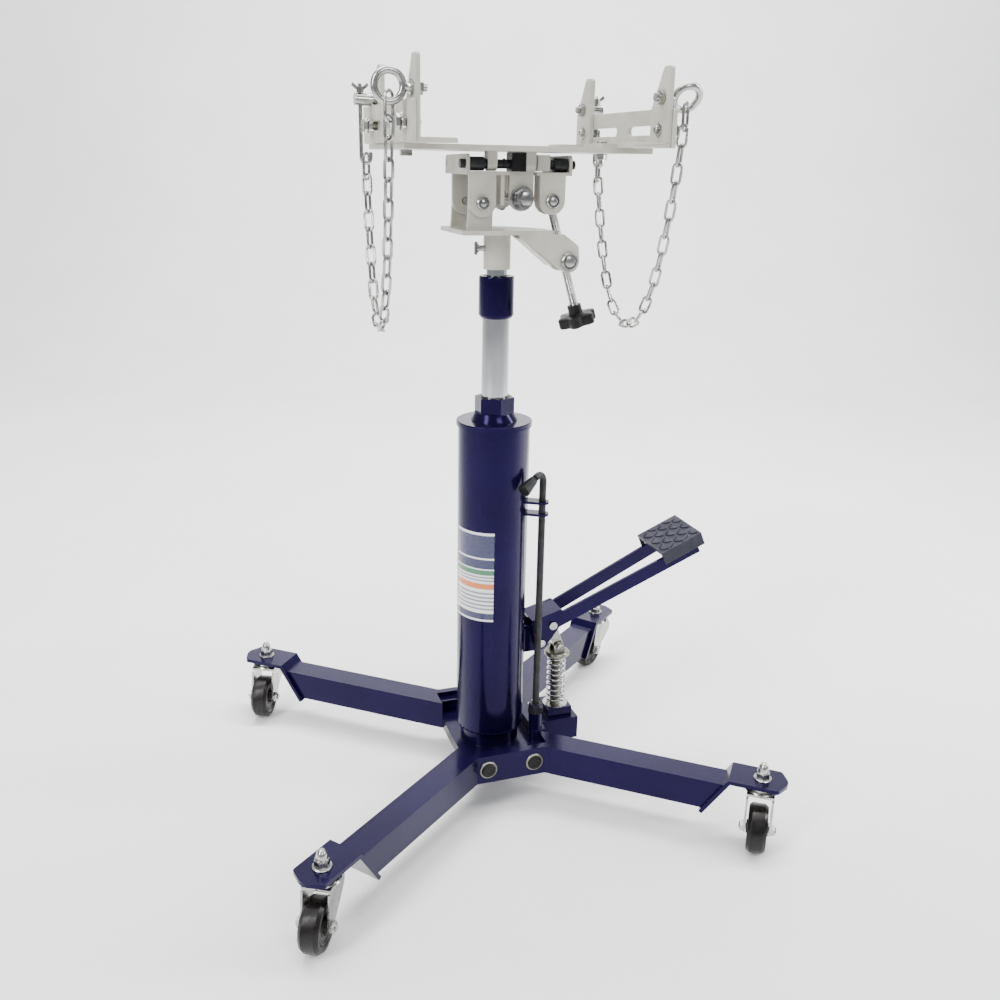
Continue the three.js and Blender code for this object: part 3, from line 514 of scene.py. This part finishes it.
def hanging(start, end, length, count=26):
    """Points along a chain of that length that hangs freely between two ends."""
    width = abs(end.y - start.y)
    rise = end.z - start.z
    target = math.sqrt(length ** 2 - rise ** 2)
    small, large = 0.001, 5.0
    for _ in range(80):
        a = (small + large) / 2
        if a * 2 * math.sinh(min(width / (2 * a), 300)) > target:
            small = a
        else:
            large = a
    dip = width / 2 - a * math.asinh(rise / (2 * a * math.sinh(width / (2 * a))))
    arc = a * math.sinh(dip / a)
    points = []
    for i in range(count + 1):
        u = a * math.asinh((length * i / count - arc) / a)
        share = (u + dip) / width
        height = start.z + a * (math.cosh(u / a) - math.cosh(dip / a))
        points.append(Vector((start.x + (end.x - start.x) * share,
                              start.y + (end.y - start.y) * share, height)))
    return points


def along(route, distance):
    """The point and direction at a distance along a route."""
    for p, q in zip(route, route[1:]):
        step = (q - p).length
        if distance <= step or q is route[-1]:
            return p + (q - p) * (distance / step), (q - p).normalized()
        distance -= step


def link_shape(size=1.0):
    """One welded link in the XZ plane, long in Z."""
    bend = (LINK_WIDTH - LINK_WIRE) / 2 * size
    straight = (LINK_LENGTH - LINK_WIDTH) / 2 * size
    spine = []
    for end in (1, -1):
        for i in range(9):
            a = math.pi * i / 8
            spine.append((bend * math.cos(a) * end, (straight + bend * math.sin(a)) * end))
    rings = []
    weld = len(spine) // 4  # the middle of the upper bend
    for i, (x, z) in enumerate(spine):
        x0, z0 = spine[i - 1]
        x1, z1 = spine[(i + 1) % len(spine)]
        tangent = Vector((x1 - x0, 0, z1 - z0)).normalized()
        over = Vector((0, 1, 0))
        wire = LINK_WIRE / 2 * (WELD if i == weld else 1.0)
        rings.append(tube_ring(Vector((x, 0, z)) * MM, over.cross(tangent), over, wire * MM, 10))
    return lofted(rings, closed=True)


def chain(side):
    """Links strung along the hanging route, in place of the CAD's plain tube."""
    start, end = chain_ends(side)
    route = hanging(start, end, CHAIN_LENGTH[side])
    route = [start + UP * TAIL] + route + [end + UP * TAIL]
    length = sum((q - p).length for p, q in zip(route, route[1:]))
    count = round((length - LINK_WIRE * MM) / (LINK_PITCH * MM))
    links = []
    for i in range(count):
        centre, direction = along(route, length * (i + 0.5) / count)
        across = Vector((1, 0, 0))
        across = (across - direction * across.dot(direction)).normalized()
        roll = math.radians(LINK_ROLL[i % 2])
        x_axis = (Matrix.Rotation(roll, 3, direction) @ across).normalized()
        turn = Matrix((x_axis, direction.cross(x_axis), direction)).transposed()
        size = LAST_LINK if i in (0, count - 1) else 1.0
        links.append(placed(link_shape(size), centre, turn))
    thing = piece(f"links_{side}", joined(*links), ZINC, "saddle")
    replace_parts(thing, f"chain_{side}")


# ---------------------------------------------------------------- saddle fittings
BAR_FACE = 0.0063  # from a post's outer face to the slotted bar's outer face
HEAD_GAP = 0.006  # from the bar's outer face to the washer under the bolt's head
CLAMPED = 12.6  # from washer to washer
SLOT_HEIGHT = 1.007
HALF_POST = 0.025


def bolt_set(length, head=9.5, shank=5.0):
    """Hex bolt with a washer at each end of a length in mm, its head above and its nut below."""
    washer = 1.4

    def disc(bottom):
        rim = head + 2.5
        top = bottom + washer
        return turned([(0.5, bottom), (rim, bottom), (rim, top), (0.5, top)], 40)

    return joined(
        turned([(shank, -length - 9), (shank, 2)], 20),
        threaded(shank, 0.5, 1.5, -length - 12, -length - 6),
        disc(0),
        hexagon(head, washer, 7),
        disc(-length - washer),
        hexagon(head, -length - 7.4, -length - washer),
    )


def post_bolts(side):
    """The bolt that clamps each post to the slotted bar."""
    seat = post_face(side) + OUT[side] * (BAR_FACE + HEAD_GAP)
    sets = []
    for post in ("near", "far"):
        y = low(f"{post}_post_{side}").y + HALF_POST
        sets.append(placed(bolt_set(CLAMPED), (seat, y, SLOT_HEIGHT), OUTWARD[side]))
    piece(f"post_bolts_{side}", joined(*sets), ZINC, "saddle")


RING_TURN = {"left": 0, "right": 35}  # degrees about the neck


def eye_bolt(side):
    """Forged ring on a shouldered neck, held by a nut inside the post."""
    face = post_face(side)
    node = f"eye_bolt_{side}"
    y = middle(node).y
    neck = turned([(5, -18), (5, -6), (8.8, -6), (8.8, 0.3), (9.5, 0.3), (9.5, 2.5), (7, 4.5),
                   (5.2, 8), (4.6, 10)], 36)
    nut = hexagon(9, -13, -6.3)
    ring = placed(torus(RING_R, RING_WIRE), (0, 0, 0), "y")
    lean = Matrix.Rotation(math.radians(RING_TURN[side]), 3, "X")
    shape = joined(
        placed(joined(neck, nut), (face, y, EYE_HEIGHT), OUTWARD[side]),
        placed(ring, (face + OUT[side] * RING_OUT, y, EYE_HEIGHT), lean),
    )
    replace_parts(piece(f"lifting_eye_{side}", shape, ZINC, "saddle"), node)


# ---------------------------------------------------------------- head fittings
def screw_frame():
    """The side screw's upper end and the direction that it runs down in."""
    top = middle("upper_trunnion")
    bottom = middle("lower_trunnion")
    down = Vector((bottom.x - top.x, 0, bottom.z - top.z)).normalized()
    across = Vector((0, 1, 0))
    turn = Matrix((across.cross(-down), across, -down)).transposed()
    return Vector((top.x, middle("side_screw").y, top.z)), turn


def side_screw():
    """The sloping screw that tilts the saddle sideways, and its star knob."""
    at, turn = screw_frame()
    rod = piece("threaded_side_screw", placed(threaded(6, 0.7, 2.0, -166, 9), at, turn), ZINC,
                "side_screw_body")
    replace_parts(rod, "side_screw")
    knob = piece("side_star_knob", placed(star_knob(25.5, 3.0, -178, -163, 10, -149), at, turn),
                 PLASTIC, "side_screw_body")
    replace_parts(knob, "side_knob")


def pitch_screw():
    """The level screw with its locking nuts, and the star knob behind the head."""
    centre = middle("pitch_screw")
    at = Vector((centre.x, COLUMN.y, centre.z))
    shape = joined(
        threaded(5.5, 0.6, 1.75, -66, 60),
        hexagon(9, 33.5, 37.7),
        hexagon(9, 44.3, 48),
        turned([(5, -62.4), (12, -62.4), (12, -61), (5, -61)], 40),
        hexagon(9.5, -67, -62.4),
    )
    screw = piece("threaded_pitch_screw", placed(shape, at, "y"), ZINC, "pitch_screw_body")
    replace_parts(screw, "pitch_screw")
    knob = piece("pitch_star_knob", placed(star_knob(20.5, 2.8, -70, -56, 10, -48.3), at, "-y"),
                 PLASTIC, "pitch_screw_body")
    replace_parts(knob, "pitch_knob")


def hinge_blocks():
    """A black block as painted shade in the recess between the saddle's middle lugs, and the
    bearing block beside it.
    """
    rod = middle("hinge_rod")
    at = Vector((COLUMN.x, rod.y, rod.z))

    def block(x0, x1, half, drop, rise):
        """A block along X with chamfered ends, drop below the rod and rise above it, in mm."""
        chamfer = 1.2
        rings = []
        for x, inset in ((x0, chamfer), (x0 + chamfer, 0), (x1 - chamfer, 0), (x1, chamfer)):
            y, bottom = half - inset, inset - drop
            rings.append([Vector(p) * MM for p in (
                (x, -y, bottom), (x, y, bottom), (x, y, rise), (x, -y, rise))])
        return lofted(rings)

    # a black block that paints the shadow in the recess between the middle lugs, not a real part
    shade_block = block(0.4, 21, 12.5, 9.3, 14.5)
    piece("painted_shade_block", placed(shade_block, at), PLASTIC, "saddle")
    bearing = block(38, 56, 10.5, 8.5, 12.5)
    piece("bearing_block", placed(bearing, at), CREAM, "saddle")
    ends = [placed(hexagon(5.2, 0, 4), at + Vector((x * MM, -4 * MM, 2 * MM)), "x")
            for x in (-10, 56)]
    piece("bearing_bolts", joined(*ends), OXIDE, "saddle")


def pin_caps():
    """Ringed, domed faces on the head's cross pins, facing the front."""
    pins = (("side_pivot_bolt", 8.6, "head"), ("lower_trunnion", 11.5, "lower_pin"),
            ("upper_trunnion", 9.4, "upper_pin"))
    for node, radius, body in pins:
        front = low(node).y
        c = middle(node)
        dome = turned([(radius, 0), (radius, 1.2), (radius - 1, 2.1), (radius - 2, 2.1),
                       (radius - 2.6, 0.7), (radius - 3.8, 0.7), (radius - 4.3, 2.4),
                       (radius - 5.6, 3), (0.4, 3.2)], 40)
        piece(f"cap_{node}", placed(dome, (c.x, front + 0.2 * MM, c.z), "-y"), ZINC, body)


# ---------------------------------------------------------------- base fittings
PLATE_BOLT_X = 0.038
PLATE_BOLT_Z = 0.0695
PLATE_FACE = 0.112  # from the column's axis to a cross plate's outer face
STEM_RISE = 26.3  # a caster's stem ends this far above its pad
RACE_DROP = 4.5  # the lower edge of the swivel race, below the fork's top


def plate_bolts():
    """Round black caps with a bright rim on the front and rear cross plates."""
    rim = turned([(9, 0), (14, 0), (14.4, 1), (13.6, 2.4), (12.2, 2.8), (11, 2.2)], 48)
    cap = turned([(11.4, 1.5), (11.4, 3.6), (10, 5), (6.5, 5.6), (6, 4.6), (0.4, 4.4)], 48)
    for end, axis, y in (("front", "-y", -PLATE_FACE), ("rear", "y", PLATE_FACE)):
        spots = [(COLUMN.x + s * PLATE_BOLT_X, COLUMN.y + y, PLATE_BOLT_Z) for s in (-1, 1)]
        rims = joined(*(placed(rim, p, axis) for p in spots))
        piece(f"bolt_rims_{end}", rims, STEEL, "base")
        caps = joined(*(placed(cap, p, axis) for p in spots))
        piece(f"bolt_caps_{end}", caps, PLASTIC, "base")


def pad_nut(name):
    """Washer, hex nut and acorn on the pad."""
    stem = f"caster_{name}_stem"
    c = middle(stem)
    pad = high(stem).z - STEM_RISE * MM
    top = joined(
        turned([(5, 0), (13, 0), (13, 1.6), (11.5, 2.2), (5, 2.2)], 40),
        hexagon(10.5, 2.2, 11.5),
        turned([(8, 11), (8, 14), (7.6, 17), (6.6, 20.5), (4.6, 24), (2, 25.8), (0.3, 26.2)], 36),
    )
    piece(f"pad_nut_{name}", placed(top, (c.x, c.y, pad)), ZINC, "base")


def wheel_rings(name):
    """Raised rings on both faces of the wheel, and the bearing race over its fork."""
    wheel = middle(f"caster_{name}_wheel")
    stem = middle(f"caster_{name}_stem")
    trail = Vector((wheel.x - stem.x, wheel.y - stem.y, 0)).normalized()
    across = UP.cross(trail)
    upright = Matrix((trail, across, UP)).transposed()
    one_face = Matrix((trail, -UP, across)).transposed()
    other_face = Matrix((trail, UP, -across)).transposed()
    ring = turned([(12, 10.6), (13, 12.4), (14, 12.4), (15, 11.4), (21, 11.4), (22.5, 12.8),
                   (24, 12.8), (25, 10.6)], 48)
    rings = joined(placed(ring, wheel, one_face), placed(ring, wheel, other_face))
    piece(f"hub_rings_{name}", rings, RUBBER, f"{name}_roller")
    race = turned([(20, 0), (24.2, 0), (24.8, 2), (23.4, 4), (20, 4)], 48)
    race_low = high(f"caster_{name}_fork").z - RACE_DROP * MM
    piece(f"race_{name}", placed(race, (stem.x, stem.y, race_low), upright), ZINC,
          f"{name}_swivel")


# ---------------------------------------------------------------- column and pump
TUBE_R = 54
FOOT_BEAD_R = 51.5  # the bead under the tube
EAR_BEADS = (-17, -10, 10, 17)  # places of the beads beside the pedal's ears, along Y
EAR_LOW = 213  # height of their lower ends
VALVE = (0.066, -0.040)  # the release valve and the pump plunger, from the column's axis
PUMP_X = 0.1165
DECAL = (0.291, 0.436)  # heights of its lower and upper edges
DECAL_FROM = math.radians(180)
DECAL_TO = math.radians(255)


def decal():
    """A thin label wrapped on the tube."""
    steps = 24
    radius = TUBE_R * MM
    inner, outer = [], []
    for i in range(steps + 1):
        a = DECAL_FROM + (DECAL_TO - DECAL_FROM) * i / steps
        aim = Vector((math.cos(a), math.sin(a), 0))
        inner.append(COLUMN + aim * (radius - 0.2 * MM))
        outer.append(COLUMN + aim * (radius + 0.35 * MM))
    around = inner + outer[::-1]
    rings = [[p + Vector((0, 0, z)) for p in around] for z in DECAL]
    piece("tube_label", lofted(rings), decal_print(*DECAL), "base", bevel=0.1)


def weld_bead(points, radius=2.6):
    """A rippled bead of weld along a line of points."""
    rings = []
    for i, p in enumerate(points):
        before = points[max(i - 1, 0)]
        after = points[min(i + 1, len(points) - 1)]
        tangent = (after - before).normalized()
        side = tangent.cross(UP)
        side = side.normalized() if side.length > 0.01 else Vector((1, 0, 0))
        ripple = 1 + 0.16 * math.sin(i * 1.9)
        rings.append(tube_ring(p, side, side.cross(tangent), radius * ripple * MM, 8))
    return lofted(rings)


def column_welds():
    """Beads where the tube meets its boss and where the pedal's ears meet the tube."""
    foot = low("reservoir").z + 0.2 * MM
    ring = circle(FOOT_BEAD_R * MM, foot, 120)
    ring.append(ring[0])
    beads = [weld_bead([COLUMN + p for p in ring], 2.8)]
    for y in EAR_BEADS:
        x = math.sqrt(TUBE_R ** 2 - y * y)
        line = [COLUMN + Vector((x, y, EAR_LOW + 2 * i)) * MM for i in range(22)]
        beads.append(weld_bead(line, 1.8))
    piece("weld_beads", joined(*beads), NAVY, "base")


TREAD_LEAN = math.radians(23.5)
TREAD_HALF = 37.5
LOZENGE_PITCH = 14


def lozenge(half_length, half_width, height):
    """A pointed bar with sloping sides."""
    shoulder = half_length * 0.45

    def ring(scale, z):
        corners = [(half_length, 0), (shoulder, half_width), (-shoulder, half_width),
                   (-half_length, 0), (-shoulder, -half_width), (shoulder, -half_width)]
        return [Vector((x * scale * MM, y * scale * MM, z * MM)) for x, y in corners]

    return lofted([ring(1, -0.6), ring(1, 0.2), ring(0.78, height)])


def tread_pattern():
    """Raised lozenges in crossed rows on the foot tread."""
    box_low, box_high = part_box("pedal_tread")
    cos, sin = math.cos(TREAD_LEAN), math.sin(TREAD_LEAN)
    lean = Matrix(((cos, 0, -sin), (0, 1, 0), (sin, 0, cos)))
    half = TREAD_HALF * MM
    deep = (box_high.z - box_low.z - 2 * half * sin) / cos  # thickness of the tread
    edge = Vector((box_high.x - deep * sin, COLUMN.y, box_high.z))
    top = edge - lean @ Vector((half, 0, 0))
    shapes = []
    rows, columns = 5, 6
    for i in range(rows):
        for j in range(columns):
            x = (i - (rows - 1) / 2) * LOZENGE_PITCH
            y = (j - (columns - 1) / 2) * LOZENGE_PITCH
            spin = Matrix.Rotation(math.radians(45 if (i + j) % 2 else -45), 3, "Z")
            at = top + lean @ Vector((x * MM, y * MM, 0))
            shapes.append(placed(lozenge(8.5, 2.2, 1.8), at, lean @ spin))
    piece("tread_lozenges", joined(*shapes), TREAD, "pedal")


def pump_details():
    """The release valve's packing nut and the gland under the pump's return spring."""
    nut = joined(hexagon(13, -16, -5), turned([(11.5, -5), (11.5, -2), (9, 0.4), (6.6, 0.5)], 40))
    nut_at = COLUMN + Vector((*VALVE, high("base_block").z))
    piece("valve_nut", placed(nut, nut_at), OXIDE, "base")
    gland = turned([(10, -1.5), (20.5, -1.5), (21, -0.6), (20.5, 0.2), (10, 0.2)], 48)
    gland_at = COLUMN + Vector((PUMP_X, 0, low("return_spring").z - 0.4 * MM))
    piece("plunger_gland", placed(gland, gland_at), ZINC, "base")


def wipers():
    """The rubbing rings round each ram, on top of the collar and of the cap."""
    rod = turned([(15.3, -2), (19, -2), (19, 0.3), (17.5, 0.7), (15.4, 0.5)], 48)
    rod_at = COLUMN + UP * high("ram_1_collar").z
    piece("rod_wiper", placed(rod, rod_at), PLASTIC, "lower_ram")
    cap = turned([(20.4, -2), (25, -2), (25, 0.3), (22.5, 0.7), (20.5, 0.5)], 48)
    cap_at = COLUMN + UP * high("reservoir_cap").z
    piece("cap_wiper", placed(cap, cap_at), PLASTIC, "base")


# ---------------------------------------------------------------- studio
def backdrop():
    """A pale floor that curves up into a wall behind the jack."""
    half_width = 16
    reach = 9.0  # in front of the column
    wall = 4.5  # behind it
    wall_top = 6.0
    bend = 1.8
    profile = [(-reach, 0), (wall - bend, 0)]
    profile += [(wall - bend + bend * math.sin(t), bend - bend * math.cos(t))
                for t in (math.pi / 2 * i / 16 for i in range(1, 17))]
    profile.append((wall, wall_top))
    points = [(x, y, z - 0.3 * MM) for x in (-half_width, half_width) for y, z in profile]
    count = len(profile)
    faces = [(i, i + 1, count + i + 1, count + i) for i in range(count - 1)]
    mesh = bpy.data.meshes.new("backdrop")
    mesh.from_pydata(points, [], faces)
    mesh.polygons.foreach_set("use_smooth", [True] * len(mesh.polygons))
    mesh.materials.append(backdrop_paper())
    thing = bpy.data.objects.new("backdrop", mesh)
    thing.rotation_euler.z = -YAW
    bpy.context.scene.collection.objects.link(thing)


def softbox(name, at, size, power, aim=(0, 0, 0.5)):
    """A rectangular area light of a power in watts, aimed at a point."""
    data = bpy.data.lights.new(name, "AREA")
    data.shape = "RECTANGLE"
    data.size, data.size_y = size
    data.energy = power
    lamp = bpy.data.objects.new(name, data)
    lamp.location = at
    lamp.rotation_euler = (Vector(aim) - Vector(at)).to_track_quat("-Z", "Y").to_euler()
    bpy.context.scene.collection.objects.link(lamp)


def studio():
    backdrop()
    softbox("key", (-2.4, -1.2, 2.2), (0.7, 2.2), 95)
    softbox("rim", (2.4, -0.6, 1.6), (0.5, 2.2), 60)
    softbox("front fill", (0.6, -3.2, 2.6), (1.4, 1.0), 45)
    softbox("top", (0, 0.4, 3.8), (3.5, 3.5), 150)
    softbox("backdrop wash", (0.6, 0.9, 3.6), (4.0, 1.0), 330, aim=(1.4, 3.6, 1.0))
    world = bpy.data.worlds.new("studio")
    world.use_nodes = True
    sky = world.node_tree.nodes["Background"]
    sky.inputs["Color"].default_value = (0.92, 0.96, 1.0, 1)
    sky.inputs["Strength"].default_value = 0.42
    bpy.context.scene.world = world


# ---------------------------------------------------------------- the jack
camera()
for side in SIDES:
    chain(side)
dress_frame()
for side in SIDES:
    post_bolts(side)
    eye_bolt(side)
side_screw()
pitch_screw()
hinge_blocks()
pin_caps()
plate_bolts()
for name in CASTERS:
    pad_nut(name)
    wheel_rings(name)
decal()
column_welds()
tread_pattern()
pump_details()
wipers()
studio()


def corners(box):
    return [[float(x) for x in corner] for corner in box]
